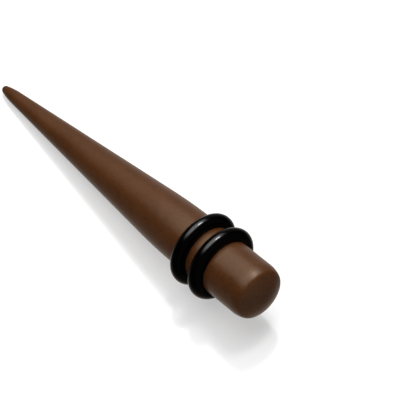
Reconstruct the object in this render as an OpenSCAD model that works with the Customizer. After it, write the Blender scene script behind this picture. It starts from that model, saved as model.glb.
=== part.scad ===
// Ear stretching taper: a solid round spike with two rubber rings near its butt.
// It lies on its side, held off the surface by its rear ring and by its nose.
// Millimetres, +Z up, +X along the spike towards the butt, origin under the middle.

/* [Spike] */
// Diameter of the straight shank, which is the size that the lobe is stretched to
shank_d = 10; // [9:0.5:12]
// Overall length from the tip to the top of the domed end
spike_l = 70.7; // [66:0.1:80]
// Length of the straight shank, with the rounded end
shank_l = 17.9; // [17.4:0.1:18.6]
// Radius of the blunt ball at the very tip
tip_r = 0.75; // [0.5:0.05:1]
// Radius of the long curve that leads from the tip's ball to the cone
nose_r = 20; // [12:1:30]
// Slope of the flank where the ball meets that curve, in degrees
nose_slope = 14; // [12:1:20]
// Radius of the soft shoulder between the cone and the shank
shoulder_r = 112.5; // [60:2.5:180]

/* [Domed end] */
// Radius of the gentle curve that leads from the shank into the edge of the end
lead_r = 5; // [3:0.25:8]
// Angle through which that curve turns, in degrees
lead_turn = 20; // [10:1:25]
// Radius of the rounded edge of the end
edge_r = 1.1; // [0.6:0.1:1.5]
// Slope of the domed end where it meets its edge, in degrees
dome_slope = 30; // [15:1:38]

/* [Rings] */
// Thickness of a ring's round section
ring_t = 2.5; // [2.2:0.1:2.7]
// Distance of the rear ring's middle from the top of the domed end
rear_from_end = 15.7; // [15.1:0.1:15.9]
// Distance of the front ring's middle from the top of the domed end
front_from_end = 11.2; // [9:0.1:11.8]
// Depth to which each ring sinks below the shank's surface
ring_sink = 0.65; // [0.5:0.05:0.7]

/* [Grooves] */
// Radius of the round bottom of each groove
groove_r = 1.4; // [1.3:0.05:2.2]
// Radius of the softened edges of each groove
groove_edge_r = 0.15; // [0.1:0.05:0.4]

/* [Hidden] */

// Facets of a small round, and of the curves that meet smoothly
small_fn = 96;
long_fn = 1440;

// Gap that keeps a ring just clear of the bottom of its groove
seat_gap = 0.03;

// Turn of a ring about its own middle, which takes its seam off the line that it lies on
seam_turn = 4.3;

// Curves that meet smoothly are drawn to cross by this hair, and run on inside each other
hair = 0.0005;
run_on = 2;

shank_r = shank_d / 2;
ring_r = ring_t / 2;
ring_circle_r = shank_r - ring_sink + ring_r;
rear_s = spike_l - rear_from_end;
front_s = spike_l - front_from_end;
shank_s = spike_l - shank_l;

// Centres of the two flank arcs, as [radius, station along the axis from the tip]
nose_c = [-(nose_r - tip_r) * cos(nose_slope), tip_r + (nose_r - tip_r) * sin(nose_slope)];
shoulder_c = [shank_r - shoulder_r, shank_s];

// The cone is the straight line that touches both arcs
arc_gap = shoulder_c - nose_c;
cone_slope = atan2(arc_gap[0], arc_gap[1]) + asin((shoulder_r - nose_r) / norm(arc_gap));
cone_side = [cos(cone_slope), -sin(cone_slope)];
nose_start = tip_r - tip_r * sin(nose_slope);
cone_start = nose_c + (nose_r - 2 * hair) * cone_side;
cone_end = shoulder_c + (shoulder_r - 2 * hair) * cone_side;

// The end's curves meet smoothly: the lead-in, the rounded edge, the rim of the dome and the dome
lead_reach = (lead_r - edge_r) * [cos(lead_turn), sin(lead_turn)];
rim_reach = edge_r * [sin(dome_slope), cos(dome_slope)];
dome_r = (shank_r - lead_r + lead_reach[0] + rim_reach[0]) / sin(dome_slope);
dome_c = [0, spike_l - dome_r];
rim_s = dome_c[1] + dome_r * cos(dome_slope);
end_s = rim_s - rim_reach[1] - lead_reach[1];
lead_c = [shank_r - lead_r, end_s];
edge_c = lead_c + lead_reach;
lead_top = lead_c[1] + lead_r * sin(lead_turn);

// Radius at which each groove's circle and the rounds of its edges are centred, and how far apart
groove_c_r = shank_r - ring_sink - seat_gap + groove_r;
edge_c_r = shank_r - groove_edge_r;
edge_offset = sqrt(pow(groove_r + groove_edge_r - hair, 2) - pow(groove_c_r - edge_c_r, 2));

// Lying pose: a level line touches the nose curve and the rear ring from below
rest_gap = [rear_s - nose_c[1], ring_circle_r - nose_c[0]];
tilt = atan2(rest_gap[1], rest_gap[0]) - asin((nose_r - ring_r) / norm(rest_gap));
lift = ring_circle_r * cos(tilt) + ring_r - rear_s * sin(tilt);
reach_tip = tip_r * cos(tilt) - tip_r;
reach_end = dome_c[1] * cos(tilt) + dome_r;
middle_x = (reach_tip + reach_end) / 2;

// Round disc bounded to one stretch of the axis
module arc_stretch(centre, radius, low, high) {
    intersection() {
        translate(centre) circle(r = radius, $fn = long_fn);
        translate([0, low]) square([shank_d, high - low]);
    }
}

// Half of the low dome, down to the point on the axis about which it is drawn
module dome() {
    reach = 2 * dome_r;
    intersection() {
        translate(dome_c) circle(r = dome_r, $fn = long_fn);
        polygon([dome_c, dome_c + reach * [sin(dome_slope), cos(dome_slope)], dome_c + [0, reach]]);
    }
}

// Half outline of the spike without its grooves, the axis running up the page
module flank() {
    intersection() {
        translate([0, tip_r]) circle(r = tip_r, $fn = small_fn);
        square([tip_r, 2 * tip_r]);
    }
    arc_stretch(nose_c, nose_r - hair, nose_start, cone_start[1] + run_on);
    polygon([[0, cone_start[1]], cone_start, cone_end, [0, cone_end[1]]]);
    arc_stretch(shoulder_c, shoulder_r, cone_end[1] - run_on, shank_s + run_on);
    translate([0, shank_s]) square([shank_r, end_s - shank_s]);
    arc_stretch(lead_c, lead_r, end_s - run_on, lead_top);
    translate([0, end_s]) square([edge_c[0], edge_c[1] - end_s]);
    translate(edge_c) circle(r = edge_r + hair, $fn = long_fn);
    dome();
}

// What is cut away to soften one edge of a groove; side is 1 towards the butt, -1 towards the tip
module groove_edge(station, side) {
    edge_s = station + side * edge_offset;
    difference() {
        polygon([[edge_c_r, edge_s], [groove_c_r, edge_s], [groove_c_r, station]]);
        translate([edge_c_r, edge_s]) circle(r = groove_edge_r, $fn = small_fn);
    }
}

module groove(station) {
    translate([groove_c_r, station]) circle(r = groove_r, $fn = small_fn);
    groove_edge(station, 1);
    groove_edge(station, -1);
}

// Lays what stands on the tip down on its side, at the angle at which it rests
module laid() {
    translate([-middle_x, 0, lift]) rotate([0, 90 - tilt, 0]) children();
}

module ring(station) {
    color("#1c1b1d")
        laid()
            translate([0, 0, station])
                rotate([0, 0, seam_turn]) rotate_extrude($fn = small_fn)
                    translate([ring_circle_r, 0]) circle(r = ring_r, $fn = small_fn);
}

module taper() {
    color("#5c4330")
        laid()
            rotate_extrude($fn = small_fn)
                difference() {
                    flank();
                    groove(rear_s);
                    groove(front_s);
                }
}

module ring_rear() {
    ring(rear_s);
}

module ring_front() {
    ring(front_s);
}

taper();
ring_rear();
ring_front();
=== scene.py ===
"""Ear stretching taper: a matte brown spike with two black rubber rings, lying on a pale floor."""

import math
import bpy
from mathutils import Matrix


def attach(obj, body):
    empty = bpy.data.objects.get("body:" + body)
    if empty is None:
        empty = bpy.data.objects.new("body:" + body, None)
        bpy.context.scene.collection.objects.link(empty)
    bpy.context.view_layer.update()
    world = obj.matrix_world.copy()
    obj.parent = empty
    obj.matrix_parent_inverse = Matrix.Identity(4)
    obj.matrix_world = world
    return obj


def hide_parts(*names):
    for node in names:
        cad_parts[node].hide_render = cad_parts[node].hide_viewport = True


bl_info = {
    "name": "Ear Taper",
    "version": (1, 0, 0),
    "blender": (4, 5, 0),
    "location": "View3D > Sidebar > Taper",
    "description": "Models a solid ear stretching taper with its two rubber rings, and a small studio",
    "category": "Object",
}

import bmesh
import bpy
from bpy.props import FloatProperty, FloatVectorProperty, IntProperty, PointerProperty
from mathutils import Matrix, Vector

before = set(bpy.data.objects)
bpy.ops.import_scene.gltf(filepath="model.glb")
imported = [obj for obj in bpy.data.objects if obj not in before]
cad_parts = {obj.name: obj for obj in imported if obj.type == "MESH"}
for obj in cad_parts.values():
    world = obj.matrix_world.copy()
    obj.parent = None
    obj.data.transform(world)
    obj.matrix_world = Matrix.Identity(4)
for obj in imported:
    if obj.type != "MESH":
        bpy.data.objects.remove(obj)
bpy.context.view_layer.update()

# The image is square, and the camera's film is this wide, in millimetres
FILM = 36

# The camera sees nothing nearer or farther than this
CLIP = (0.01, 10)

# Steps of a ring's round section, and of the stretches of the spike's outline in their order
SECTION_STEPS = 48
TIP_STEPS = 16
NOSE_STEPS = 12
CONE_STEPS = 40
SHOULDER_STEPS = 16
GROOVE_EDGE_STEPS = 6
GROOVE_STEPS = 24
SHANK_STEPS = 8
LEAD_STEPS = 10
EDGE_STEPS = 12
DOME_STEPS = 24

# Points of a skin that lie nearer to each other than this are made one
WELD = 1e-7

# The colour inputs of Blender's Mix node, and its colour output
MIX_A, MIX_B, MIX_OUT = 6, 7, 2


class TaperSizes(bpy.types.PropertyGroup):
    """Real sizes of the spike and of its rings."""

    length: FloatProperty(
        name="Length", description="From the tip to the top of the domed end",
        default=0.0707, unit="LENGTH",
    )
    shank_radius: FloatProperty(
        name="Shank Radius", description="Half of the stretching gauge",
        default=0.005, unit="LENGTH",
    )
    shank_length: FloatProperty(
        name="Shank Length", description="Straight part, with the rounded end",
        default=0.0179, unit="LENGTH",
    )
    tip_radius: FloatProperty(
        name="Tip Radius", description="Blunt ball at the very tip",
        default=0.00075, unit="LENGTH",
    )
    nose_radius: FloatProperty(
        name="Nose Radius", description="Long curve between the ball and the cone",
        default=0.020, unit="LENGTH",
    )
    nose_slope: FloatProperty(
        name="Nose Slope", description="Slope where the ball meets the nose curve",
        default=math.radians(14), unit="ROTATION",
    )
    shoulder_radius: FloatProperty(
        name="Shoulder Radius", description="Soft curve between the cone and the shank",
        default=0.1125, unit="LENGTH",
    )
    lead_radius: FloatProperty(
        name="Lead Radius", description="Gentle curve from the shank into the end's edge",
        default=0.005, unit="LENGTH",
    )
    lead_turn: FloatProperty(
        name="Lead Turn", description="Angle through which that curve turns",
        default=math.radians(20), unit="ROTATION",
    )
    edge_radius: FloatProperty(
        name="Edge Radius", description="Rounded edge of the end",
        default=0.0011, unit="LENGTH",
    )
    dome_slope: FloatProperty(
        name="Dome Slope", description="Slope of the domed end where it meets its edge",
        default=math.radians(30), unit="ROTATION",
    )
    ring_radius: FloatProperty(
        name="Ring Radius", description="Half of a ring's thickness",
        default=0.00125, unit="LENGTH",
    )
    ring_sink: FloatProperty(
        name="Ring Sink", description="Depth of a ring below the shank's surface",
        default=0.00065, unit="LENGTH",
    )
    rear_from_end: FloatProperty(
        name="Rear Ring", description="From the top of the end to the rear ring",
        default=0.0157, unit="LENGTH",
    )
    front_from_end: FloatProperty(
        name="Front Ring", description="From the top of the end to the front ring",
        default=0.0112, unit="LENGTH",
    )
    groove_radius: FloatProperty(
        name="Groove Radius", description="Round bottom of each groove",
        default=0.0014, unit="LENGTH",
    )
    groove_edge: FloatProperty(
        name="Groove Edge", description="Softened edges of each groove",
        default=0.00015, unit="LENGTH",
    )
    seat_gap: FloatProperty(
        name="Seat Gap", description="Between a ring and the bottom of its groove",
        default=0.00003, unit="LENGTH",
    )
    turn_steps: IntProperty(
        name="Turn Steps", description="Facets around the spike",
        default=160, min=24, max=400,
    )

    @property
    def ring_circle(self):
        """Radius of the circle that the middle of a ring's section follows."""
        return self.shank_radius - self.ring_sink + self.ring_radius

    @property
    def nose_centre(self):
        """Distance from the axis and station of the nose curve's centre."""
        reach = self.nose_radius - self.tip_radius
        station = self.tip_radius + reach * math.sin(self.nose_slope)
        return Vector((-reach * math.cos(self.nose_slope), station))

    @property
    def shoulder_centre(self):
        """Distance from the axis and station of the shoulder curve's centre."""
        return Vector((self.shank_radius - self.shoulder_radius, self.length - self.shank_length))

    @property
    def cone_slope(self):
        """Slope of the straight line that touches the nose curve and the shoulder curve."""
        gap = self.shoulder_centre - self.nose_centre
        return math.atan2(gap.x, gap.y) + math.asin((self.shoulder_radius - self.nose_radius) / gap.length)

    @property
    def dome_radius(self):
        """Radius of the dome that closes the end and touches its rounded edge."""
        lead_reach = (self.lead_radius - self.edge_radius) * math.cos(self.lead_turn)
        edge_middle = self.shank_radius - self.lead_radius + lead_reach
        return edge_middle / math.sin(self.dome_slope) + self.edge_radius

    @property
    def end_centres(self):
        """Distances from the axis and stations of the centres of the lead-in, the edge and the dome."""
        out_of_dome = Vector((math.sin(self.dome_slope), math.cos(self.dome_slope)))
        out_of_lead = Vector((math.cos(self.lead_turn), math.sin(self.lead_turn)))
        dome = Vector((0, self.length - self.dome_radius))
        edge = dome + (self.dome_radius - self.edge_radius) * out_of_dome
        lead = edge - (self.lead_radius - self.edge_radius) * out_of_lead
        return lead, edge, dome

    @property
    def lying_pose(self):
        """Lays what stands on its tip down, so that a level line touches the nose and the rear ring."""
        rear = self.length - self.rear_from_end
        gap = Vector((rear - self.nose_centre.y, self.ring_circle - self.nose_centre.x))
        tilt = math.atan2(gap.y, gap.x) - math.asin((self.nose_radius - self.ring_radius) / gap.length)
        lift = self.ring_circle * math.cos(tilt) + self.ring_radius - rear * math.sin(tilt)
        low_x = self.tip_radius * math.cos(tilt) - self.tip_radius
        high_x = (self.length - self.dome_radius) * math.cos(tilt) + self.dome_radius
        place = Matrix.Translation((-(low_x + high_x) / 2, 0, lift))
        return place @ Matrix.Rotation(math.pi / 2 - tilt, 4, "Y")


class TaperFinish(bpy.types.PropertyGroup):
    """Colours and gloss of the plastic, the rubber and the floor."""

    body_colour: FloatVectorProperty(
        name="Body", description="Brown of the spike",
        default=(0.077, 0.0245, 0.0056), min=0, max=1, size=3, subtype="COLOR",
    )
    body_roughness: FloatProperty(
        name="Body Roughness", description="How matte the spike is",
        default=0.37, min=0, max=1, subtype="FACTOR",
    )
    body_specular: FloatProperty(
        name="Body Specular", description="Strength of the spike's sheen",
        default=0.5, min=0, max=1, subtype="FACTOR",
    )
    body_sheen_tint: FloatVectorProperty(
        name="Body Sheen Tint", description="Warm tint of the spike's sheen",
        default=(1.0, 0.82, 0.62), min=0, max=1, size=3, subtype="COLOR",
    )
    ring_colour: FloatVectorProperty(
        name="Rings", description="Black of the rubber rings",
        default=(0.0006, 0.0006, 0.0006), min=0, max=1, size=3, subtype="COLOR",
    )
    ring_roughness: FloatProperty(
        name="Ring Roughness", description="How dull the rubber is",
        default=0.20, min=0, max=1, subtype="FACTOR",
    )
    ring_specular: FloatProperty(
        name="Ring Specular", description="Strength of the gloss of the dull rubber",
        default=0.05, min=0, max=1, subtype="FACTOR",
    )
    # Painted highlight: how strongly the glossy coat is laid on the rings' side where the lights' highlight
    # falls
    ring_highlight: FloatProperty(
        name="Ring Shine", description="Strength of the glossy patch on the rings",
        default=1.0, min=0, max=1, subtype="FACTOR",
    )
    # Painted highlight: the rings' coat is laid only where their surface faces this way, where the lights
    # are mirrored towards the camera
    highlight_way: FloatVectorProperty(
        name="Shine Way", description="Side of the rings that the glossy patch is on",
        default=(0.09, -0.20, 0.975), size=3, subtype="DIRECTION",
    )
    ring_rim: FloatProperty(
        name="Ring Rim", description="Bloom on the rubber where it is seen edge on",
        default=0.4, min=0, max=1, subtype="FACTOR",
    )
    floor_colour: FloatVectorProperty(
        name="Floor", description="White of the backlit floor sheet",
        default=(0.50, 0.50, 0.50), min=0, max=1, size=3, subtype="COLOR",
    )
    floor_glow: FloatProperty(
        name="Floor Glow", description="Light that comes through the floor sheet from below",
        default=0.46, min=0, max=2,
    )


class TaperStudio(bpy.types.PropertyGroup):
    """Camera, lights and floor."""

    bearing: FloatProperty(
        name="Bearing", description="Direction of the camera around the object, from +X",
        default=math.radians(-40.987), unit="ROTATION",
    )
    elevation: FloatProperty(
        name="Elevation", description="Height of the camera above the floor, as an angle",
        default=math.radians(51.220), unit="ROTATION",
    )
    distance: FloatProperty(
        name="Distance", description="From the camera to the point that it looks at",
        default=0.41618, unit="LENGTH",
    )
    aim: FloatVectorProperty(
        name="Aim", description="Point that the camera looks at",
        default=(0.012280, 0.007368, 0.005), size=3, unit="LENGTH",
    )
    focal: FloatProperty(
        name="Focal Length", description="On a film 36 mm wide",
        default=211.55, min=20, max=600,
    )
    box_size: FloatVectorProperty(
        name="Softbox Size", description="Sides of the wide softbox overhead",
        default=(0.74, 1.14), size=2, unit="LENGTH",
    )
    box_place: FloatVectorProperty(
        name="Softbox Place", description="Middle of the softbox",
        default=(-0.26, 0.05, 0.62), size=3, unit="LENGTH",
    )
    box_power: FloatProperty(
        name="Softbox Power", description="Power of the softbox",
        default=5.86, unit="POWER",
    )
    middle_size: FloatVectorProperty(
        name="Middle Size", description="Sides of the softbox's brighter middle",
        default=(0.34, 0.50), size=2, unit="LENGTH",
    )
    middle_place: FloatVectorProperty(
        name="Middle Place", description="Place of that brighter middle",
        default=(-0.10, 0.0, 0.60), size=3, unit="LENGTH",
    )
    middle_power: FloatProperty(
        name="Middle Power", description="Power of the brighter middle",
        default=0.30, unit="POWER",
    )
    core_size: FloatVectorProperty(
        name="Core Size", description="Sides of the softbox's brightest core",
        default=(0.09, 0.16), size=2, unit="LENGTH",
    )
    core_place: FloatVectorProperty(
        name="Core Place", description="Middle of the brightest core",
        default=(-0.06, 0.20, 0.58), size=3, unit="LENGTH",
    )
    core_power: FloatProperty(
        name="Core Power", description="Power of the brightest core",
        default=1.10, unit="POWER",
    )
    far_light: FloatProperty(
        name="Far Light", description="Strength of the glow from beyond the object",
        default=0.44, min=0, max=4,
    )
    far_way: FloatVectorProperty(
        name="Far Way", description="Direction that the far glow comes from",
        default=(-0.50, 0.50, -0.70), size=3, subtype="DIRECTION",
    )
    horizon_light: FloatProperty(
        name="Horizon Light", description="Strength of the glow just above the horizon, beyond the object",
        default=0.26, min=0, max=4,
    )
    horizon_way: FloatVectorProperty(
        name="Horizon Way", description="Direction that the horizon glow comes from",
        default=(-0.60, 0.74, 0.30), size=3, subtype="DIRECTION",
    )
    low_light: FloatProperty(
        name="Low Light", description="Strength of the warm glow from below",
        default=0.43, min=0, max=4,
    )
    low_way: FloatVectorProperty(
        name="Low Way", description="Direction that the low glow comes from",
        default=(-0.45, 0.12, -0.88), size=3, subtype="DIRECTION",
    )
    low_colour: FloatVectorProperty(
        name="Low Colour", description="Colour of the glow from below",
        default=(1.0, 0.86, 0.72), min=0, max=1, size=3, subtype="COLOR",
    )
    side_light: FloatProperty(
        name="Side Light", description="Strength of the glow from the side that the butt faces",
        default=0.25, min=0, max=4,
    )
    side_way: FloatVectorProperty(
        name="Side Way", description="Direction that the side glow comes from",
        default=(0.94, -0.10, 0.33), size=3, subtype="DIRECTION",
    )
    floor_size: FloatProperty(
        name="Floor Size", description="Side of the floor",
        default=3.0, unit="LENGTH",
    )


class Turned:
    """Draws the half outline of a turned piece, stretch by stretch, and spins it round its axis, Z."""

    def __init__(self, radius, station):
        self.bm = bmesh.new()
        self.end = self.bm.verts.new((radius, 0, station))

    def line(self, radius, station, steps=1):
        """Adds a straight stretch to a point."""
        move = (Vector((radius, 0, station)) - self.end.co) / steps
        for _ in range(steps):
            made = bmesh.ops.extrude_vert_indiv(self.bm, verts=[self.end])["verts"]
            bmesh.ops.translate(self.bm, verts=made, vec=move)
            self.end = made[0]

    def arc(self, centre, angle, steps):
        """Adds a round stretch about a centre. A positive angle bends from the axis towards the butt."""
        made = bmesh.ops.spin(
            self.bm, geom=[self.end], cent=(centre[0], 0, centre[1]), axis=(0, -1, 0), dvec=(0, 0, 0),
            angle=angle, steps=steps, use_duplicate=False,
        )
        self.end = next(g for g in made["geom_last"] if isinstance(g, bmesh.types.BMVert))

    def spun(self, name, steps, pose):
        """Spins the outline into a closed skin, poses it, and returns it as an object."""
        bm = self.bm
        outline = list(bm.verts) + list(bm.edges)
        bmesh.ops.spin(
            bm, geom=outline, cent=(0, 0, 0), axis=(0, 0, 1), dvec=(0, 0, 0),
            angle=math.tau, steps=steps, use_merge=True, use_duplicate=False,
        )
        bmesh.ops.remove_doubles(bm, verts=bm.verts, dist=WELD)
        bmesh.ops.recalc_face_normals(bm, faces=bm.faces)
        bmesh.ops.transform(bm, matrix=pose, verts=bm.verts)
        for face in bm.faces:
            face.smooth = True
        mesh = bpy.data.meshes.new(name)
        bm.to_mesh(mesh)
        bm.free()
        piece = bpy.data.objects.new(name, mesh)
        bpy.context.scene.collection.objects.link(piece)
        return piece


class Sock:
    """A socket that takes part in sums, so that shader maths reads as an expression."""

    def __init__(self, finish, socket):
        self.finish, self.socket = finish, socket

    def _math(self, operation, a, b):
        return self.finish.node("ShaderNodeMath", {"operation": operation}, {0: a, 1: b})

    def __add__(self, other):
        return self._math("ADD", self, other)

    def __radd__(self, other):
        return self._math("ADD", other, self)

    def __mul__(self, other):
        return self._math("MULTIPLY", self, other)

    def __rmul__(self, other):
        return self._math("MULTIPLY", other, self)


class Finish:
    """A material, or the room's light, under construction."""

    def __init__(self, owner):
        self.owner = owner
        owner.use_nodes = True
        self.tree = owner.node_tree
        self.tree.nodes.clear()

    def node(self, kind, settings=None, inputs=None, output=0):
        """Adds a node, sets it, then fills or links its sockets, and returns one of its outputs."""
        node = self.tree.nodes.new(kind)
        for key, value in (settings or {}).items():
            setattr(node, key, value)
        for key, value in (inputs or {}).items():
            if isinstance(value, Sock):
                self.tree.links.new(value.socket, node.inputs[key])
            else:
                node.inputs[key].default_value = value
        return Sock(self, node.outputs[output]) if len(node.outputs) else None

    def noise(self, size, detail=2.0, roughness=0.5):
        """Noise whose lumps are about the given size across, from 0 to 1."""
        place = self.node("ShaderNodeTexCoord", output="Object")
        return self.node("ShaderNodeTexNoise", {}, {
            "Vector": place, "Scale": 1 / size, "Detail": detail, "Roughness": roughness,
        })

    def mottle(self, share, colour, low, high):
        """Colour that goes from low to high times the given one, as its share goes from 0 to 1."""
        return self.node(
            "ShaderNodeMix", {"data_type": "RGBA"},
            {0: share, MIX_A: (*(colour * low), 1), MIX_B: (*(colour * high), 1)}, output=MIX_OUT,
        )

    def bumps(self, strength, depth, height):
        """Normal of a surface whose height, from 0 to 1, stands for the given depth."""
        return self.node("ShaderNodeBump", {}, {"Strength": strength, "Distance": depth, "Height": height})

    def toward(self, way, middle):
        """How near a direction is to another one, from -1 for away from it to 1 for along it."""
        return self.node(
            "ShaderNodeVectorMath", {"operation": "DOT_PRODUCT"}, {0: way, 1: middle}, output="Value",
        )

    def surface(self, inputs):
        """Ends the material in one Principled surface."""
        shader = self.node("ShaderNodeBsdfPrincipled", {}, inputs)
        self.node("ShaderNodeOutputMaterial", {}, {"Surface": shader})
        return self.owner


def soft_touch_plastic(finish):
    """Matte brown moulded plastic with a fine velvety grain."""
    grain_size, cloud_size = 0.00045, 0.004
    darkest, brightest = 0.30, 1.70
    rough_spread = 0.06
    grain_depth, grain_strength = 0.00004, 0.7

    f = Finish(bpy.data.materials.new("soft_touch_plastic"))
    grain = f.noise(grain_size, 3.0, 0.6)
    cloud = f.noise(cloud_size)
    return f.surface({
        "Base Color": f.mottle(grain * 0.7 + cloud * 0.3, Vector(finish.body_colour), darkest, brightest),
        "Roughness": finish.body_roughness - rough_spread / 2 + cloud * rough_spread,
        "Specular IOR Level": finish.body_specular,
        "Specular Tint": (*finish.body_sheen_tint, 1),
        "Normal": f.bumps(grain_strength, grain_depth, grain * 0.8 + cloud * 0.2),
    })


def ring_rubber(finish):
    """Black rubber with a painted highlight (a glossy coat laid only on the side where the lights'
    highlight falls), and a slight bloom where it is seen edge on.
    """
    grain_size, cloud_size = 0.00015, 0.0015
    darkest, brightest = 0.7, 1.5
    rough_spread = 0.08
    grain_depth, grain_strength = 0.00001, 0.2
    highlight_start, highlight_full = 0.92, 0.995
    coat_roughness = 0.16

    f = Finish(bpy.data.materials.new("ring_rubber"))
    grain = f.noise(grain_size)
    cloud = f.noise(cloud_size, 3.0, 0.6)
    edge_on = f.node("ShaderNodeLayerWeight", {}, {"Blend": 0.5}, output="Facing")
    # Painted highlight: the coat is laid only where the rubber faces the given way, where the softbox's
    # highlight falls
    highlight_patch = f.node("ShaderNodeMapRange", {"interpolation_type": "SMOOTHSTEP"}, {
        "Value": f.toward(f.node("ShaderNodeTexCoord", output="Normal"), finish.highlight_way),
        "From Min": highlight_start, "From Max": highlight_full,
    })
    return f.surface({
        "Base Color": f.mottle(cloud, Vector(finish.ring_colour), darkest, brightest),
        "Roughness": finish.ring_roughness - rough_spread / 2 + cloud * rough_spread,
        "Specular IOR Level": finish.ring_specular,
        "Coat Weight": edge_on * edge_on * finish.ring_rim + highlight_patch * finish.ring_highlight,
        "Coat Roughness": coat_roughness,
        "Normal": f.bumps(grain_strength, grain_depth, grain + cloud),
    })


def backlit_sheet(finish):
    """Glossy white sheet with a little light coming through it."""
    cloud_size, faint = 0.05, 0.99
    smoothest, rough_spread = 0.12, 0.02

    f = Finish(bpy.data.materials.new("backlit_sheet"))
    cloud = f.noise(cloud_size)
    return f.surface({
        "Base Color": f.mottle(cloud, Vector(finish.floor_colour), faint, 1),
        "Roughness": smoothest + cloud * rough_spread,
        "Specular IOR Level": 1.0,
        "Emission Color": (1, 1, 1, 1),
        "Emission Strength": finish.floor_glow,
    })


def dim_room(studio):
    """Dark room with soft glows: from beyond the object, low and high, from below and from the butt's side.

    A glow starts, and is full, where a direction is that near to the glow's middle.
    """
    white = (1, 1, 1)
    f = Finish(bpy.data.worlds.new("dim_room"))
    way = f.node("ShaderNodeTexCoord", output="Generated")
    room = None
    for middle, start, full, light, colour in (
        (studio.far_way, 0.60, 0.97, studio.far_light, white),
        (studio.horizon_way, 0.70, 1.0, studio.horizon_light, white),
        (studio.low_way, 0.25, 0.98, studio.low_light, studio.low_colour),
        (studio.side_way, 0.30, 0.90, studio.side_light, white),
    ):
        strength = f.node("ShaderNodeMapRange", {}, {
            "Value": f.toward(way, middle), "From Min": start, "From Max": full,
            "To Min": 0, "To Max": light,
        })
        glow = f.node("ShaderNodeBackground", {}, {"Color": (*colour, 1), "Strength": strength})
        room = f.node("ShaderNodeAddShader", {}, {0: room, 1: glow}) if room else glow
    f.node("ShaderNodeOutputWorld", {}, {"Surface": room})
    return f.owner


def outline_of_spike(sizes):
    """Half outline of the spike, from the tip to the top of its domed end, with its two grooves."""
    slope, shank = sizes.cone_slope, sizes.shank_radius
    lead, edge, dome = sizes.end_centres
    nose, shoulder = sizes.nose_centre, sizes.shoulder_centre
    groove_centre = shank - sizes.ring_sink - sizes.seat_gap + sizes.groove_radius
    edge_centre = shank - sizes.groove_edge
    reach = sizes.groove_radius + sizes.groove_edge
    swing = math.acos((groove_centre - edge_centre) / reach)
    offset = reach * math.sin(swing)

    outline = Turned(0, 0)
    outline.arc((0, sizes.tip_radius), math.pi / 2 - sizes.nose_slope, TIP_STEPS)
    outline.arc(nose, sizes.nose_slope - slope, NOSE_STEPS)
    cone_end = shoulder + sizes.shoulder_radius * Vector((math.cos(slope), -math.sin(slope)))
    outline.line(cone_end.x, cone_end.y, CONE_STEPS)
    outline.arc(shoulder, slope, SHOULDER_STEPS)
    for from_end in (sizes.rear_from_end, sizes.front_from_end):
        station = sizes.length - from_end
        outline.line(shank, station - offset)
        outline.arc((edge_centre, station - offset), swing, GROOVE_EDGE_STEPS)
        outline.arc((groove_centre, station), -2 * swing, GROOVE_STEPS)
        outline.arc((edge_centre, station + offset), swing, GROOVE_EDGE_STEPS)
    outline.line(shank, lead.y, SHANK_STEPS)
    outline.arc(lead, sizes.lead_turn, LEAD_STEPS)
    outline.arc(edge, math.pi / 2 - sizes.dome_slope - sizes.lead_turn, EDGE_STEPS)
    outline.arc(dome, sizes.dome_slope, DOME_STEPS)
    return outline


class TAPER_OT_spike(bpy.types.Operator):
    """Turns the brown spike with its two grooves"""

    bl_idname = "taper.spike"
    bl_label = "Spike"
    bl_options = {"REGISTER", "UNDO"}

    def execute(self, context):
        sizes, finish = context.scene.taper_sizes, context.scene.taper_finish
        spike = outline_of_spike(sizes).spun("spike_skin", sizes.turn_steps, sizes.lying_pose)
        spike.data.materials.append(soft_touch_plastic(finish))
        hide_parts("taper")
        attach(spike, "root")
        return {"FINISHED"}


class TAPER_OT_rings(bpy.types.Operator):
    """Moulds the two black rubber rings in their grooves"""

    bl_idname = "taper.rings"
    bl_label = "Rubber Rings"
    bl_options = {"REGISTER", "UNDO"}

    def execute(self, context):
        sizes, finish = context.scene.taper_sizes, context.scene.taper_finish
        rubber = ring_rubber(finish)
        for node, from_end in (("ring_rear", sizes.rear_from_end), ("ring_front", sizes.front_from_end)):
            station = sizes.length - from_end
            section = Turned(sizes.ring_circle + sizes.ring_radius, station)
            section.arc((sizes.ring_circle, station), math.tau, SECTION_STEPS)
            ring = section.spun(node + "_skin", sizes.turn_steps, sizes.lying_pose)
            ring.data.materials.append(rubber)
            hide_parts(node)
            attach(ring, "root")
        return {"FINISHED"}


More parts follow.
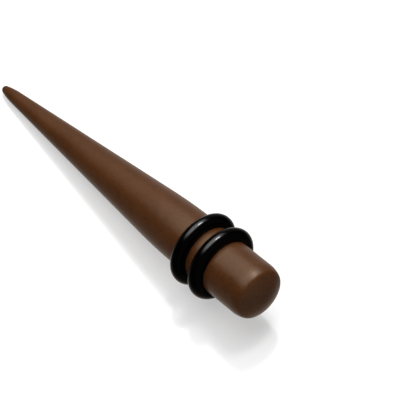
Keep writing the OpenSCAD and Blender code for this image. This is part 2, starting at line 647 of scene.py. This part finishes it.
class TAPER_OT_studio(bpy.types.Operator):
    """Sets the pale floor, the soft light and the camera"""

    bl_idname = "taper.studio"
    bl_label = "Studio"
    bl_options = {"REGISTER", "UNDO"}

    def execute(self, context):
        scene = context.scene
        studio, finish = scene.taper_studio, scene.taper_finish

        bm = bmesh.new()
        bmesh.ops.create_grid(bm, x_segments=1, y_segments=1, size=studio.floor_size / 2)
        mesh = bpy.data.meshes.new("floor")
        bm.to_mesh(mesh)
        bm.free()
        floor = bpy.data.objects.new("floor", mesh)
        floor.data.materials.append(backlit_sheet(finish))
        # The room's glows stand in for what the floor would show in the gloss of the pieces
        floor.visible_glossy = False
        scene.collection.objects.link(floor)

        for name, size, place, power in (
            ("softbox", studio.box_size, studio.box_place, studio.box_power),
            ("softbox_middle", studio.middle_size, studio.middle_place, studio.middle_power),
            ("softbox_core", studio.core_size, studio.core_place, studio.core_power),
        ):
            light = bpy.data.lights.new(name, "AREA")
            light.shape = "RECTANGLE"
            light.size, light.size_y = size
            light.energy = power
            lamp = bpy.data.objects.new(name, light)
            lamp.location = place
            scene.collection.objects.link(lamp)

        scene.world = dim_room(studio)
        scene.view_settings.view_transform = "Standard"

        lens = bpy.data.cameras.new("camera")
        lens.sensor_width = FILM
        lens.lens = studio.focal
        lens.clip_start, lens.clip_end = CLIP
        camera = bpy.data.objects.new("camera", lens)
        level = math.cos(studio.elevation)
        back = Vector((
            level * math.cos(studio.bearing), level * math.sin(studio.bearing), math.sin(studio.elevation),
        ))
        camera.location = Vector(studio.aim) + back * studio.distance
        camera.rotation_euler = back.to_track_quat("Z", "Y").to_euler()
        scene.collection.objects.link(camera)
        scene.camera = camera
        return {"FINISHED"}


class TAPER_PT_panel(bpy.types.Panel):
    """Sizes, finishes and studio of the taper"""

    bl_label = "Ear Taper"
    bl_idname = "TAPER_PT_panel"
    bl_space_type = "VIEW_3D"
    bl_region_type = "UI"
    bl_category = "Taper"

    def draw(self, context):
        for group in (context.scene.taper_sizes, context.scene.taper_finish, context.scene.taper_studio):
            box = self.layout.box()
            for name in group.__annotations__:
                box.prop(group, name)
        for operator in STEPS:
            self.layout.operator(operator.bl_idname)


GROUPS = {"taper_sizes": TaperSizes, "taper_finish": TaperFinish, "taper_studio": TaperStudio}
STEPS = (TAPER_OT_studio, TAPER_OT_spike, TAPER_OT_rings)


def register():
    """Registers the classes and hangs the settings on the scene."""
    for cls in (*GROUPS.values(), *STEPS, TAPER_PT_panel):
        bpy.utils.register_class(cls)
    for name, group in GROUPS.items():
        setattr(bpy.types.Scene, name, PointerProperty(type=group))


def unregister():
    """Takes the settings and the classes away again."""
    for name in GROUPS:
        delattr(bpy.types.Scene, name)
    for cls in (TAPER_PT_panel, *reversed(STEPS), *reversed(list(GROUPS.values()))):
        bpy.utils.unregister_class(cls)


def main():
    """Builds the scene step by step."""
    register()
    bpy.ops.taper.studio()
    bpy.ops.taper.spike()
    bpy.ops.taper.rings()


if __name__ == "__main__":
    main()
